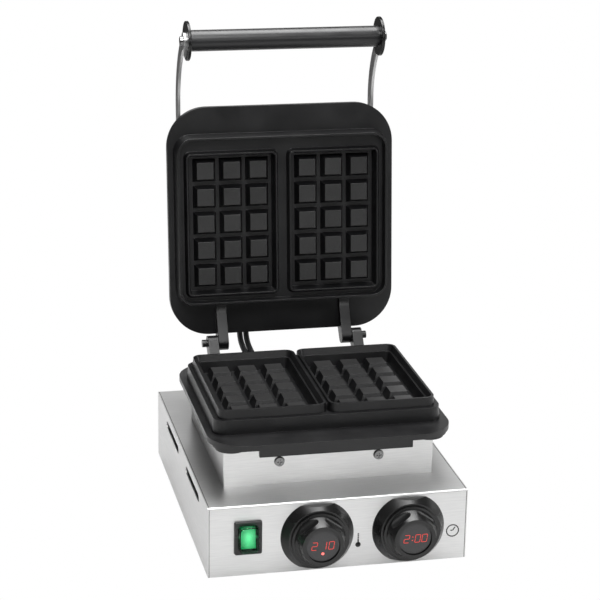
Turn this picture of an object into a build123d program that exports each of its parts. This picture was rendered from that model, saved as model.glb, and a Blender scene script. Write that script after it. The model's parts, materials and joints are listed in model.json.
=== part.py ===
from build123d import *
from math import atan2, cos, degrees, radians, sin, tan
import os

os.makedirs("parts", exist_ok=True)

# Brussels waffle maker with its lid standing open. Millimetres, +Z up, +Y towards the hinge.
# The origin is on the table, under the middle of the whole object.
# Depths are counted from the base's front face and heights from the base's underside.
# The lid is drawn as if it were shut, and its planes carry every piece to the open position.

# Clearances
skin = 0.3
press = 0.02
running = 0.05

# Base casing
base_width = 258.0
base_depth = 319.0
base_height = 72.7
sheet = 1.2
fold_radius = 2.0
panel_lip = 14.0
louvre_length = 78.0
louvre_height = 8.0
louvre_level = 59.5
louvre_near = 91.5
louvre_far = 216.0
louvre_hood = 3.0
vent_length = 60.0
vent_width = 5.0
vent_pitch = 14.0
vent_places = (0.35, 0.65)
vent_count = 5

# Feet and small screws
foot_height = 8.0
foot_radius = 11.0
foot_inset = 38.0
foot_recess = 5.0
foot_draft = 6.0
screw_radius = 2.0
screw_head = 4.4
screw_head_height = 2.2
head_draft = 18.0
cross_share = 0.2
screw_length = 9.0
arm_screw_length = 6.5
panel_screw_count = 3

# Housing that carries the lower plate
housing_width = 211.6
housing_front = 46.8
housing_back = 235.9
housing_rise = 38.8
housing_wall = 1.5
housing_foot = 24.0
housing_screw_spacing = 100.0
housing_screw_drop = 15.2
housing_screw_head = 5.3
tab_width = 18.0
tab_drop = 22.0

# Tray between the housing and the lower plate, with a stepped pad under each corner of the plate
tray_width = 215.6
tray_front = 40.0
tray_back = 242.0
tray_corner = 16.0
tray_floor = 2.5
tray_wall = 4.0
pad_x = 99.0
pad_inset = 4.0
pad_radius = 18.0
pad_step = 2.5
pad_height = 3.2

# Both baking plates
plate_width = 243.0
plate_middle = 133.0
stud_pitch = 28.2
stud_columns = 3
stud_rows = 5
stud_top = 17.6
stud_root = 24.2
stud_height = 9.0
cavity_centre = 54.7
pocket_draft = 11.0
wall_draft = 5.0

# Lower plate
low_front = 15.5
low_back = 252.0
low_corner = 38.0
low_flange = 5.5
low_flange_top = 127.3
ledge_half_width = 115.0
ledge_front = 46.8
ledge_back = 222.0
ledge_corner = 14.0
ledge_rise = 14.1
rim_half_width = 109.4
rim_front = 52.0
rim_back = 215.8
rim_corner = 10.0
rim_rise = 9.3
rim_parting = 0.6
rim_crest = 2.3
step_depth = 6.3
step_draft = 18.0
step_width = 1.8
low_stud_top = 142.0
bridge_drop = 3.0
lip_width = 152.0
lip_depth = 5.0
lip_drop = 7.0

# Upper plate, heights as shut
up_front = 10.4
up_back = 253.9
up_corner = 42.0
up_flange = 8.0
up_flange_face = 156.0
up_body = 10.0
ridge_front = 41.4
ridge_corner = 16.0
ridge_crest = 2.2
ridge_draft = 11.5
shut_gap = 0.6
moat_gap = 0.7
nest_gap = 0.9
up_rim_crest = 1.6
waffle_web = 6.1
boss_radius = 6.0
boss_x = 92.0
boss_front = 62.0
boss_back = 200.0

# Hinge
hinge_depth = 261.5
hinge_level = 146.0
open_angle = 96.0
lug_radius = 8.0
lug_width = 10.8
lug_gap = 0.6
lug_inner = 62.0
pin_radius = 4.0
pin_proud = 5.5
strap_rise = 4.5
lug_root = 12.0

# Upper cover, heights as shut
cover_half_width = 103.4
cover_front = 36.0
cover_back = 240.0
cover_rise = 36.0
cover_wall = 1.2
cover_corner = 6.0

# Handle, as shut
grip_depth = -60.8
grip_level = 135.4
grip_half_length = 100.0
grip_radius = 11.0
grip_bore = 4.6
disc_radius = 20.4
disc_groove = 0.9
arm_thickness = 2.8
arm_width = 14.0
arm_level = 184.0
arm_bend = 85.0
arm_back = 124.0
arm_end_radius = 9.0
arm_bolts = [64.0, 108.0]
rod_radius = 3.0
rod_head = 5.2
rod_head_height = 3.0
rod_head_draft = 10.0

# Heating elements and insulation
element_radius = 3.2
element_bend = 14.0
element_leg_bend = 4.0
element_leg = 20.0
element_runs = [12.0, 46.0, 80.0]
element_front = 48.0
element_inner_front = 72.0
element_back = 202.0
insulation_thickness = 14.0
insulation_margin = 3.0
insulation_half_width = 82.0
insulation_rear_room = 10.0

# Temperature probe and safety cut-out
probe_radius = 1.8
probe_length = 60.0
probe_tail = 6.0
cutout_radius = 8.0
cutout_height = 9.0
cutout_x = 60.0
cutout_depth = 190.0

# Switch
switch_x = -90.0
switch_level = 39.6
switch_width = 27.8
switch_tall = 34.6
switch_rim = 3.0
switch_draft = 12.0
switch_corner = 2.4
switch_body_width = 21.6
switch_body_tall = 29.6
switch_body_depth = 22.0
window_width = 17.8
window_tall = 25.8
window_depth = 11.0
rocker_width = 14.0
rocker_tall = 20.4
rocker_front = 5.0
rocker_behind = 4.0
rocker_dish = 1.4
rocker_tilt = 8.0
rocker_axis_depth = 1.0
rocker_pivot_radius = 1.2
rocker_pivot_length = 1.2
dome_width = 20.4
dome_tall = 28.4
dome_rise = 7.0
dome_wall = 1.0
dome_corner = 5.0
dome_round = 2.0
dome_draft = 6.0

# Knobs
knob_level = 36.3
knob_x = {"temperature": -21.7, "timer": 69.6}
bezel_radius = 36.4
bezel_front_radius = 30.0
bezel_depth = 10.0
bezel_flat = 32.3
knob_gap = 0.5
knob_radius = 27.6
knob_front_radius = 20.4
knob_band = 2.4
knob_depth = 16.5
scoop_count = 5
scoop_radius = 6.8
scoop_length = 28.0
scoop_bite = 2.4
scoop_start = 54.0
stem_radius = 16.6
stem_neck = 14.0
lens_recess = 2.0
lens_radius = 15.9
lens_thickness = 1.4
encoder_radius = 19.0
encoder_depth = 14.0

# Electrics inside the base
board_side = 34.0
board_tall = 50.0
board_thickness = 1.6
relay_width = 16.0
relay_length = 29.0
relay_height = 20.0
relay_pitch = 26.0
relay_count = 3
relay_side_room = 5.0
relay_back_room = 37.0
block_width = 44.0
block_depth = 18.0
block_height = 16.0
block_x = -50.0
block_back_room = 44.0
block_ways = 4
block_hole = 3.0

# Cord gland in the back
gland_side_room = 33.0
gland_level = 26.0
gland_radius = 9.0
gland_bore = 4.2
gland_length = 11.0
gland_draft = 8.0
gland_flange_radius = 12.0
gland_flange = 3.0
gland_inside = 12.0
gland_nut_radius = 13.0
gland_nut_depth = 5.0

# Hoses from the base to the lid: points of the route by hand, as X, depth and height
hose_radius = 3.1
hose_spacing = 6.8
bend_share = 0.45
fitting_radius = 8.5
fitting_height = 8.0
fitting_flange_radius = 12.5
fitting_flange = 2.0
fitting_spigot = 6.0
hose_x = -40.0
hose_lid_level = 177.0
hose_base_x = -20.0
hose_base_depth = 287.5
hose_middle = [(-36.5, 292.0, 128.0), (-28.0, 290.0, 112.0)]
hose_straight = 12.0

# Where the origin lies along the depth: half way between the knobs' fronts and the open lid's back
swing = radians(open_angle)
cover_top = up_flange_face + up_flange + cover_rise
front_reach = bezel_depth + knob_gap + knob_depth
back_reach = hinge_depth + (cover_top - hinge_level) * sin(swing) - (hinge_depth - cover_front) * cos(swing)
front_y = (front_reach - back_reach) / 2

half_width = base_width / 2
gland_x = gland_side_room - half_width
stud_draft = degrees(atan2((stud_root - stud_top) / 2, stud_height))
bezel_draft = degrees(atan2(bezel_radius - bezel_front_radius, bezel_depth))


def base_point(x, depth, height):
    """A point by its X, its depth behind the front face and its height above the underside."""
    return Vector(x, front_y + depth, foot_height + height)


def level(height):
    """Horizontal plane at a height above the base's underside."""
    return Plane(origin=base_point(0, 0, height))


def under(height):
    """Horizontal plane at a height, looking down; its Y runs to the front."""
    return Plane(origin=base_point(0, 0, height), x_dir=(1, 0, 0), z_dir=(0, 0, -1))


def facing(depth):
    """Upright plane that looks to the front, at a depth behind the front face."""
    return Plane(origin=base_point(0, depth, 0), x_dir=(1, 0, 0), z_dir=(0, -1, 0))


def across(x):
    """Upright plane square to X, drawn in depth and height."""
    return Plane(origin=base_point(x, 0, 0), x_dir=(0, 1, 0), z_dir=(1, 0, 0))


hinge_point = base_point(0, hinge_depth, hinge_level)
lid_rear = Vector(0, cos(swing), -sin(swing))
lid_over = Vector(0, sin(swing), cos(swing))


def lid_point(x, depth, height):
    """Where a point of the shut lid stands once the lid is open."""
    return hinge_point + Vector(x, 0, 0) + lid_rear * (depth - hinge_depth) + lid_over * (height - hinge_level)


def lid_plane(height):
    """Plane of the lid that is horizontal when the lid is shut."""
    return Plane(origin=lid_point(0, 0, height), x_dir=(1, 0, 0), z_dir=lid_over)


def lid_across(x):
    """Plane of the lid square to X, drawn in depth and height as shut."""
    return Plane(origin=lid_point(x, 0, 0), x_dir=lid_rear, z_dir=(1, 0, 0))


def area(left, right, front, back, corner=0):
    """Rectangle between four edges, with round corners if asked, in the open sketch."""
    with Locations(((left + right) / 2, (front + back) / 2)):
        if corner > 0:
            RectangleRounded(right - left, back - front, corner)
        else:
            Rectangle(right - left, back - front)


def save(piece, label):
    """Label a piece and write it."""
    piece.label = label
    export_step(piece, f"parts/{label}.step")


def pan_screws(plane, spots, length, head=screw_head):
    """Cross-head pan screws at spots on a plane whose normal points out of the sheet."""
    with BuildPart() as screws:
        with BuildSketch(plane):
            with Locations(*spots):
                Circle(screw_radius)
        extrude(amount=-length)
        with BuildSketch(plane):
            with Locations(*spots):
                Circle(head)
        extrude(amount=screw_head_height, taper=head_draft)
        with BuildSketch(plane.offset(screw_head_height)):
            with Locations(*spots):
                Rectangle(head, head * cross_share)
                Rectangle(head * cross_share, head)
        extrude(amount=-screw_head_height / 2, mode=Mode.SUBTRACT)
    return screws.part


# Folded cover: front, top and back in one sheet
cover_half = half_width - sheet
switch_hole = (switch_body_width + skin, switch_body_tall + skin)
with BuildPart() as base_cover:
    with BuildSketch(across(-cover_half)):
        area(0, base_depth, 0, base_height)
    extrude(amount=2 * cover_half)
    fillet(base_cover.edges().filter_by(Axis.X).group_by(Axis.Z)[-1], fold_radius)
    with BuildSketch(across(-cover_half)):
        area(sheet, base_depth - sheet, -sheet, base_height - sheet)
    extrude(amount=2 * cover_half, mode=Mode.SUBTRACT)
    with BuildSketch(facing(-sheet)):
        with Locations((switch_x, switch_level)):
            Rectangle(*switch_hole)
        with Locations(*[(x, knob_level) for x in knob_x.values()]):
            Circle(stem_neck + skin)
    extrude(amount=-3 * sheet, mode=Mode.SUBTRACT)
    with BuildSketch(facing(base_depth - 2 * sheet)):
        with Locations((gland_x, gland_level)):
            Circle(gland_radius + skin)
    extrude(amount=-4 * sheet, mode=Mode.SUBTRACT)
    with BuildSketch(level(base_height - 2 * sheet)):
        with Locations((hose_base_x, hose_base_depth)):
            Circle(fitting_radius + skin)
        area(
            housing_foot - housing_width / 2, housing_width / 2 - housing_foot,
            housing_front + housing_foot, housing_back - housing_foot,
        )
    extrude(amount=4 * sheet, mode=Mode.SUBTRACT)
save(base_cover.part, "base_cover")

# Places of the screws under the base
foot_spots = [(sx * (half_width - foot_inset), y) for sx in (-1, 1) for y in (foot_inset, base_depth - foot_inset)]
screw_row = half_width - sheet - panel_lip / 2
screw_pitch = (base_depth - 2 * foot_inset) / (panel_screw_count - 1)
panel_spots = [(sx * screw_row, foot_inset + i * screw_pitch) for sx in (-1, 1) for i in range(panel_screw_count)]

# Side panels: flat sheets with a lip turned in below and two hooded louvres each
for side, name in ((-1, "left_side_panel"), (1, "right_side_panel")):
    outer_x = side * half_width
    inner_x = side * cover_half
    lip_x = side * (cover_half - panel_lip)
    hood_x = side * (cover_half - louvre_hood)
    with BuildPart() as side_panel:
        with BuildSketch(across(min(inner_x, outer_x))):
            area(0, base_depth, 0, base_height)
        extrude(amount=sheet)
        fillet(side_panel.edges().filter_by(Axis.X).group_by(Axis.Z)[-1], fold_radius)
        with BuildSketch(level(0)):
            area(min(inner_x, lip_x), max(inner_x, lip_x), sheet, base_depth - sheet)
        extrude(amount=sheet)
        with BuildSketch(across(min(inner_x, outer_x))):
            with Locations((louvre_near, louvre_level), (louvre_far, louvre_level)):
                SlotOverall(louvre_length, louvre_height)
        extrude(amount=sheet, mode=Mode.SUBTRACT)
        with BuildSketch(across(min(inner_x, hood_x))):
            with Locations(*[(y, louvre_level + louvre_height / 2 + sheet / 2) for y in (louvre_near, louvre_far)]):
                Rectangle(louvre_length - louvre_height, sheet)
        extrude(amount=louvre_hood)
        with BuildSketch(level(0)):
            with Locations(*panel_spots):
                Circle(screw_radius + press)
        extrude(amount=sheet, mode=Mode.SUBTRACT)
    save(side_panel.part, name)

# Bottom plate with cooling slots
with BuildPart() as bottom_plate:
    with BuildSketch(level(sheet)):
        area(-cover_half, cover_half, sheet, base_depth - sheet)
    extrude(amount=sheet)
    with BuildSketch(level(sheet)):
        for share in vent_places:
            with Locations((0, base_depth * share)):
                with GridLocations(vent_pitch, 1, vent_count, 1):
                    SlotOverall(vent_length, vent_width, rotation=90)
        with Locations(*foot_spots, *panel_spots):
            Circle(screw_radius + press)
    extrude(amount=sheet, mode=Mode.SUBTRACT)
save(bottom_plate.part, "bottom_plate")
save(pan_screws(under(0), [(x, -y) for x, y in panel_spots], screw_length), "panel_screws")

# Rubber feet, tapered, each with a sunk screw
with BuildPart() as rubber_feet:
    with BuildSketch(level(sheet)):
        with Locations(*foot_spots):
            Circle(foot_radius)
    extrude(amount=-foot_height - sheet, taper=foot_draft)
    with BuildSketch(level(-foot_height)):
        with Locations(*foot_spots):
            Circle(screw_head + skin)
    extrude(amount=foot_recess, mode=Mode.SUBTRACT)
    with BuildSketch(level(-foot_height)):
        with Locations(*foot_spots):
            Circle(screw_radius + press)
    extrude(amount=foot_height + 2 * sheet, mode=Mode.SUBTRACT)
save(rubber_feet.part, "rubber_feet")
foot_screws = pan_screws(under(foot_recess - foot_height), [(x, -y) for x, y in foot_spots], screw_length)
save(foot_screws, "foot_screws")

# Housing under the plate: four walls and a turned-in foot on the base's top
housing_half = housing_width / 2
housing_top = base_height + housing_rise
housing_screw_level = housing_top - housing_screw_drop
housing_screw_spots = [(sx * housing_screw_spacing / 2, housing_screw_level) for sx in (-1, 1)]
with BuildPart() as plate_housing:
    with BuildSketch(level(base_height)):
        area(-housing_half, housing_half, housing_front, housing_back, housing_wall)
    extrude(amount=housing_rise)
    with BuildSketch(level(base_height + housing_wall)):
        area(
            housing_wall - housing_half, housing_half - housing_wall,
            housing_front + housing_wall, housing_back - housing_wall,
        )
    extrude(amount=housing_rise, mode=Mode.SUBTRACT)
    with BuildSketch(level(base_height)):
        area(
            housing_foot - housing_half, housing_half - housing_foot,
            housing_front + housing_foot, housing_back - housing_foot,
        )
    extrude(amount=housing_wall, mode=Mode.SUBTRACT)
    with BuildSketch(facing(housing_front)):
        with Locations(*housing_screw_spots):
            Circle(screw_radius + press)
    extrude(amount=-(housing_back - housing_front), mode=Mode.SUBTRACT)
save(plate_housing.part, "plate_housing")

front_screws = pan_screws(facing(housing_front), housing_screw_spots, screw_length, housing_screw_head)
back_plane = Plane(origin=base_point(0, housing_back, 0), x_dir=(-1, 0, 0), z_dir=(0, 1, 0))
back_spots = [(-x, z) for x, z in housing_screw_spots]
back_screws = pan_screws(back_plane, back_spots, screw_length, housing_screw_head)
with BuildPart() as housing_screws:
    add(front_screws)
    add(back_screws)
save(housing_screws.part, "housing_screws")

# Tray under the lower plate, with tabs that the housing's screws hold
plate_bottom = low_flange_top - low_flange
element_level = plate_bottom - element_radius - skin
leg_spots = [(sx * element_runs[0], element_back) for sx in (-1, 1)]
tray_hollow = (
    tray_wall - tray_width / 2, tray_width / 2 - tray_wall, tray_front + tray_wall, tray_back - tray_wall,
)
pad_spots = [(sx * pad_x, y) for sx in (-1, 1) for y in (tray_front + pad_inset, tray_back - pad_inset)]
with BuildPart() as plate_tray:
    with BuildSketch(level(housing_top)):
        area(-tray_width / 2, tray_width / 2, tray_front, tray_back, tray_corner)
    extrude(amount=plate_bottom - housing_top)
    for rise, radius in ((pad_height, pad_radius), (2 * pad_height, pad_radius - pad_step)):
        with BuildSketch(level(plate_bottom)):
            with Locations(*pad_spots):
                Circle(radius)
        extrude(amount=-rise)
    with BuildSketch(level(housing_top + tray_floor)):
        area(*tray_hollow, tray_corner - tray_wall)
    extrude(amount=plate_bottom - housing_top, mode=Mode.SUBTRACT)
    for y in (housing_front + housing_wall, housing_back - housing_wall - tray_floor):
        with BuildSketch(level(housing_top)):
            for x in (-housing_screw_spacing / 2, housing_screw_spacing / 2):
                area(x - tab_width / 2, x + tab_width / 2, y, y + tray_floor)
        extrude(amount=-tab_drop)
    with BuildSketch(facing(housing_front)):
        with Locations(*housing_screw_spots):
            Circle(screw_radius + press)
    extrude(amount=-(housing_back - housing_front), mode=Mode.SUBTRACT)
    with BuildSketch(level(housing_top)):
        with Locations(*leg_spots):
            Circle(element_radius + skin)
    extrude(amount=tray_floor, mode=Mode.SUBTRACT)
save(plate_tray.part, "plate_tray")

# Insulation on the housing's foot, clear of the element's legs
with BuildPart() as lower_insulation:
    with BuildSketch(level(base_height + housing_wall)):
        area(
            insulation_margin - housing_half, housing_half - insulation_margin,
            housing_front + insulation_margin, housing_back - insulation_margin,
        )
    extrude(amount=insulation_thickness)
save(lower_insulation.part, "lower_insulation")


def heating_element(place, height, leg_end):
    """Tube bent back and forth under or over a plate, with two straight legs."""
    inner, middle, outer = element_runs
    plan = [
        (-inner, element_back), (-inner, element_inner_front), (-middle, element_inner_front),
        (-middle, element_back), (-outer, element_back), (-outer, element_front),
        (outer, element_front), (outer, element_back), (middle, element_back),
        (middle, element_inner_front), (inner, element_inner_front), (inner, element_back),
    ]
    points = [place(-inner, element_back, leg_end)]
    points += [place(x, y, height) for x, y in plan]
    points.append(place(inner, element_back, leg_end))
    bends = [element_leg_bend] + [element_bend] * (len(plan) - 2) + [element_leg_bend]
    with BuildPart() as tube:
        with BuildLine() as path:
            FilletPolyline(*points, radius=bends)
        with BuildSketch(Plane(origin=path.line @ 0, z_dir=path.line % 0)):
            Circle(element_radius)
        sweep()
    return tube.part


save(heating_element(base_point, element_level, element_level - element_leg), "lower_heating_element")


def stud_grid(width):
    """Squares for the studs of both cavities, in the open sketch."""
    for side in (-1, 1):
        with Locations((side * cavity_centre, plate_middle)):
            with GridLocations(stud_pitch, stud_pitch, stud_columns, stud_rows):
                Rectangle(width, width)


# Lower plate: flange, ledge, two rims, pockets and studs
low_ledge = low_flange_top + ledge_rise
low_rim = low_ledge + rim_rise
low_floor = low_stud_top - stud_height
rim_lean = rim_rise * tan(radians(wall_draft))
rim_half_top = rim_half_width - rim_lean
rim_front_top = rim_front + rim_lean
rim_back_top = rim_back - rim_lean
step_level = low_rim - step_depth
step_lean = step_depth * tan(radians(step_draft))
step_outer = rim_half_top - rim_crest - step_lean
step_inner = rim_parting + rim_lean + rim_crest + step_lean
step_front = rim_front_top + rim_crest + step_lean
step_back = rim_back_top - rim_crest - step_lean
floor_lean = (step_level - low_floor) * tan(radians(pocket_draft))
lug_outer = lug_inner + lug_width + lug_gap
probe_level = plate_bottom + low_flange / 2
with BuildPart() as lower_baking_plate:
    with BuildSketch(level(plate_bottom)):
        area(-plate_width / 2, plate_width / 2, low_front, low_back, low_corner)
    extrude(amount=low_flange)
    with BuildSketch(level(plate_bottom)):
        area(-lip_width / 2, lip_width / 2, low_front, low_front + lip_depth)
    extrude(amount=-lip_drop)
    with BuildSketch(level(low_flange_top)):
        area(-ledge_half_width, ledge_half_width, ledge_front, ledge_back, ledge_corner)
    extrude(amount=ledge_rise, taper=wall_draft)
    for side in (-1, 1):
        with BuildSketch(level(low_ledge)):
            edges_x = sorted((side * rim_parting, side * rim_half_width))
            area(*edges_x, rim_front, rim_back, rim_corner)
        extrude(amount=rim_rise, taper=wall_draft)
    with BuildSketch(level(low_ledge)):
        area(-step_inner, step_inner, rim_front_top + rim_corner, rim_back_top - rim_corner)
    extrude(amount=rim_rise - bridge_drop)
    for side in (-1, 1):
        with BuildSketch(level(step_level)):
            edges_x = sorted((side * step_inner, side * step_outer))
            area(*edges_x, step_front, step_back, rim_corner / 2)
        extrude(amount=step_depth, taper=-step_draft, mode=Mode.SUBTRACT)
        with BuildSketch(level(low_floor)):
            inset = step_width + floor_lean
            edges_x = sorted((side * (step_inner + inset), side * (step_outer - inset)))
            area(*edges_x, step_front + inset, step_back - inset, rim_corner / 4)
        extrude(amount=step_level - low_floor, taper=-pocket_draft, mode=Mode.SUBTRACT)
    with BuildSketch(level(low_floor)):
        stud_grid(stud_root)
    extrude(amount=stud_height, taper=stud_draft)
    for side in (-1, 1):
        with BuildSketch(across(min(side * lug_outer, side * (lug_outer + lug_width)))):
            with Locations((hinge_depth, hinge_level)):
                Circle(lug_radius)
            with Locations((low_back - lug_root, plate_bottom + low_flange / 2)):
                Rectangle(lug_root, low_flange)
            make_hull()
        extrude(amount=lug_width)
        with BuildSketch(across(min(side * lug_outer, side * (lug_outer + lug_width)))):
            with Locations((hinge_depth, hinge_level)):
                Circle(pin_radius + press)
        extrude(amount=lug_width, mode=Mode.SUBTRACT)
    with BuildSketch(facing(low_back)):
        with Locations((0, probe_level)):
            Circle(probe_radius + press)
    extrude(amount=probe_length, mode=Mode.SUBTRACT)
save(lower_baking_plate.part, "lower_baking_plate")

with BuildPart() as temperature_probe:
    with BuildSketch(facing(low_back - probe_length)):
        with Locations((0, probe_level)):
            Circle(probe_radius)
    extrude(amount=-probe_length - probe_tail)
save(temperature_probe.part, "temperature_probe")

with BuildPart() as safety_cutout:
    with BuildSketch(level(housing_top)):
        with Locations((cutout_x, cutout_depth)):
            Circle(cutout_radius)
    extrude(amount=-cutout_height)
save(safety_cutout.part, "safety_cutout")

# Hinge pins, one each side, through both lugs
pin_length = 2 * lug_width + lug_gap + pin_proud
with BuildPart() as hinge_pins:
    for side in (-1, 1):
        with BuildSketch(across(min(side * lug_inner, side * (lug_inner + pin_length)))):
            with Locations((hinge_depth, hinge_level)):
                Circle(pin_radius)
        extrude(amount=pin_length)
save(hinge_pins.part, "hinge_pins")

# Upper plate: flange, ridge, moat, two rims, pockets, studs, straps, lugs and bosses
up_top = up_flange_face + up_flange
ridge_level = low_ledge + shut_gap
moat_level = low_rim + moat_gap
moat_depth = moat_level - ridge_level
moat_lean = moat_depth * tan(radians(wall_draft))
moat_half = rim_half_width + nest_gap + moat_lean / 4
moat_back = rim_back + nest_gap + moat_lean / 4
moat_front = ridge_front + ridge_crest
up_crest_level = step_level + shut_gap
up_outer = step_outer - nest_gap
up_inner = step_inner + nest_gap
up_rim_front = step_front + nest_gap
up_rim_back = step_back - nest_gap
up_stud_level = low_stud_top + waffle_web
up_floor = up_stud_level + stud_height
body_half = cover_half_width - cover_wall - skin
with BuildPart() as upper_baking_plate:
    with BuildSketch(lid_plane(up_flange_face)):
        area(-plate_width / 2, plate_width / 2, up_front, up_back, up_corner)
    extrude(amount=up_flange)
    with BuildSketch(lid_plane(up_flange_face)):
        area(-body_half, body_half, cover_front + cover_wall + skin, cover_back - cover_wall - skin, cover_corner)
    extrude(amount=up_body)
    with BuildSketch(lid_plane(ridge_level)):
        crest_half = moat_half + ridge_crest
        area(-crest_half, crest_half, ridge_front, moat_back + ridge_crest, ridge_corner)
    extrude(amount=up_flange_face - ridge_level, taper=-ridge_draft)
    with BuildSketch(lid_plane(ridge_level)):
        area(-moat_half, moat_half, moat_front, moat_back, ridge_corner - ridge_crest)
    extrude(amount=moat_depth, taper=wall_draft, mode=Mode.SUBTRACT)
    for side in (-1, 1):
        with BuildSketch(lid_plane(up_crest_level)):
            area(*sorted((side * up_inner, side * up_outer)), up_rim_front, up_rim_back, rim_corner / 2)
        extrude(amount=moat_level - up_crest_level, taper=-step_draft)
        with BuildSketch(lid_plane(up_crest_level)):
            edges_x = sorted((side * (up_inner + up_rim_crest), side * (up_outer - up_rim_crest)))
            area(*edges_x, up_rim_front + up_rim_crest, up_rim_back - up_rim_crest, rim_corner / 2 - up_rim_crest)
        extrude(amount=up_floor - up_crest_level, taper=pocket_draft, mode=Mode.SUBTRACT)
    with BuildSketch(lid_plane(up_stud_level)):
        stud_grid(stud_top)
    extrude(amount=stud_height, taper=-stud_draft)
    for side in (-1, 1):
        with BuildSketch(lid_across(min(side * lug_inner, side * (lug_inner + lug_width)))):
            with Locations((hinge_depth, hinge_level)):
                Circle(lug_radius)
            area(up_back - 2 * lug_root, up_back - lug_root / 2, up_flange_face - strap_rise, up_top)
            make_hull()
        extrude(amount=lug_width)
        with BuildSketch(lid_across(min(side * lug_inner, side * (lug_inner + lug_width)))):
            area(moat_back + ridge_crest, up_back - lug_root, up_flange_face - strap_rise, up_flange_face)
        extrude(amount=lug_width)
        with BuildSketch(lid_across(min(side * lug_inner, side * (lug_inner + lug_width)))):
            with Locations((hinge_depth, hinge_level)):
                Circle(pin_radius + running)
        extrude(amount=lug_width, mode=Mode.SUBTRACT)
    boss_spots = [(sx * boss_x, y) for sx in (-1, 1) for y in (boss_front, boss_back)]
    with BuildSketch(lid_plane(up_top)):
        with Locations(*boss_spots):
            Circle(boss_radius)
    extrude(amount=cover_rise - cover_wall)
    with BuildSketch(lid_plane(cover_top - cover_wall)):
        with Locations(*boss_spots):
            Circle(screw_radius + press)
    extrude(amount=-screw_length, mode=Mode.SUBTRACT)
save(upper_baking_plate.part, "upper_baking_plate")

# Upper heating element and insulation
up_element_level = up_flange_face + up_body + element_radius + skin
save(heating_element(lid_point, up_element_level, up_element_level + element_leg), "upper_heating_element")
insulation_bottom = up_element_level + element_radius + skin
with BuildPart() as upper_insulation:
    with BuildSketch(lid_plane(insulation_bottom)):
        area(
            -insulation_half_width, insulation_half_width,
            cover_front + cover_wall + insulation_margin, cover_back - cover_wall - insulation_rear_room,
        )
    extrude(amount=insulation_thickness)
    with BuildSketch(lid_plane(insulation_bottom)):
        with Locations(*leg_spots):
            Circle(element_radius + skin)
    extrude(amount=insulation_thickness, mode=Mode.SUBTRACT)
save(upper_insulation.part, "upper_insulation")

# Upper cover, a shell that stands on the plate's flange
lid_hose_plane = Plane(
    origin=lid_point(hose_x, cover_back, hose_lid_level), x_dir=(1, 0, 0), z_dir=lid_rear
)
arm_hole_spots = [(y, arm_level) for y in arm_bolts]
with BuildPart() as upper_cover:
    with BuildSketch(lid_plane(up_top)):
        area(-cover_half_width, cover_half_width, cover_front, cover_back, cover_corner)
    extrude(amount=cover_rise)
    with BuildSketch(lid_plane(up_top)):
        area(
            cover_wall - cover_half_width, cover_half_width - cover_wall,
            cover_front + cover_wall, cover_back - cover_wall, cover_corner - cover_wall,
        )
    extrude(amount=cover_rise - cover_wall, mode=Mode.SUBTRACT)
    with BuildSketch(lid_plane(cover_top - cover_wall)):
        with Locations(*boss_spots):
            Circle(screw_radius + press)
    extrude(amount=cover_wall, mode=Mode.SUBTRACT)
    with BuildSketch(lid_across(-cover_half_width)):
        with Locations(*arm_hole_spots):
            Circle(screw_radius + press)
    extrude(amount=2 * cover_half_width, mode=Mode.SUBTRACT)
    with BuildSketch(lid_hose_plane):
        Circle(fitting_radius + skin)
    extrude(amount=-2 * cover_wall, mode=Mode.SUBTRACT)
save(upper_cover.part, "upper_cover")
save(pan_screws(lid_plane(cover_top), boss_spots, screw_length), "cover_screws")

# Handle arms: straight along the cover, then bent down to the grip in one arc
bend_fall = arm_level - grip_level
bend_turn = degrees(atan2((bend_fall * (2 * arm_bend - bend_fall)) ** 0.5, arm_bend - bend_fall))
bend_start = grip_depth + arm_bend * sin(radians(bend_turn))
for side, name in ((-1, "left_handle_arm"), (1, "right_handle_arm")):
    with BuildPart() as handle_arm:
        with BuildSketch(lid_across(min(side * cover_half_width, side * (cover_half_width + arm_thickness)))):
            with BuildLine():
                over = arm_bend + arm_width / 2
                under = arm_bend - arm_width / 2
                middle = (bend_start, arm_level - arm_bend)
                top_arc = CenterArc(middle, over, 90, bend_turn)
                low_arc = CenterArc(middle, under, 90, bend_turn)
                Line(top_arc @ 1, low_arc @ 1)
                back_top = (arm_back, arm_level + arm_width / 2)
                back_low = (arm_back, arm_level - arm_width / 2)
                Polyline(top_arc @ 0, back_top, back_low, low_arc @ 0)
            make_face()
            with Locations((grip_depth, grip_level)):
                Circle(arm_end_radius)
            with Locations((arm_back, arm_level)):
                Circle(arm_width / 2)
            with Locations((grip_depth, grip_level)):
                Circle(rod_radius + press, mode=Mode.SUBTRACT)
            with Locations(*arm_hole_spots):
                Circle(screw_radius + press, mode=Mode.SUBTRACT)
        extrude(amount=arm_thickness)
    save(handle_arm.part, name)

arm_outer = cover_half_width + arm_thickness
side_screws = []
for side in (-1, 1):
    screw_plane = Plane(origin=lid_point(side * arm_outer, 0, 0), x_dir=lid_rear * side, z_dir=(side, 0, 0))
    side_screws.append(pan_screws(screw_plane, [(side * y, z) for y, z in arm_hole_spots], arm_screw_length))
with BuildPart() as arm_screws:
    add(side_screws)
save(arm_screws.part, "arm_screws")

# Grip tube, end discs and the rod with its nut
with BuildPart() as handle_grip:
    with BuildSketch(lid_across(-grip_half_length)):
        with Locations((grip_depth, grip_level)):
            Circle(grip_radius)
            Circle(grip_bore, mode=Mode.SUBTRACT)
    extrude(amount=2 * grip_half_length)
save(handle_grip.part, "handle_grip")

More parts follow.
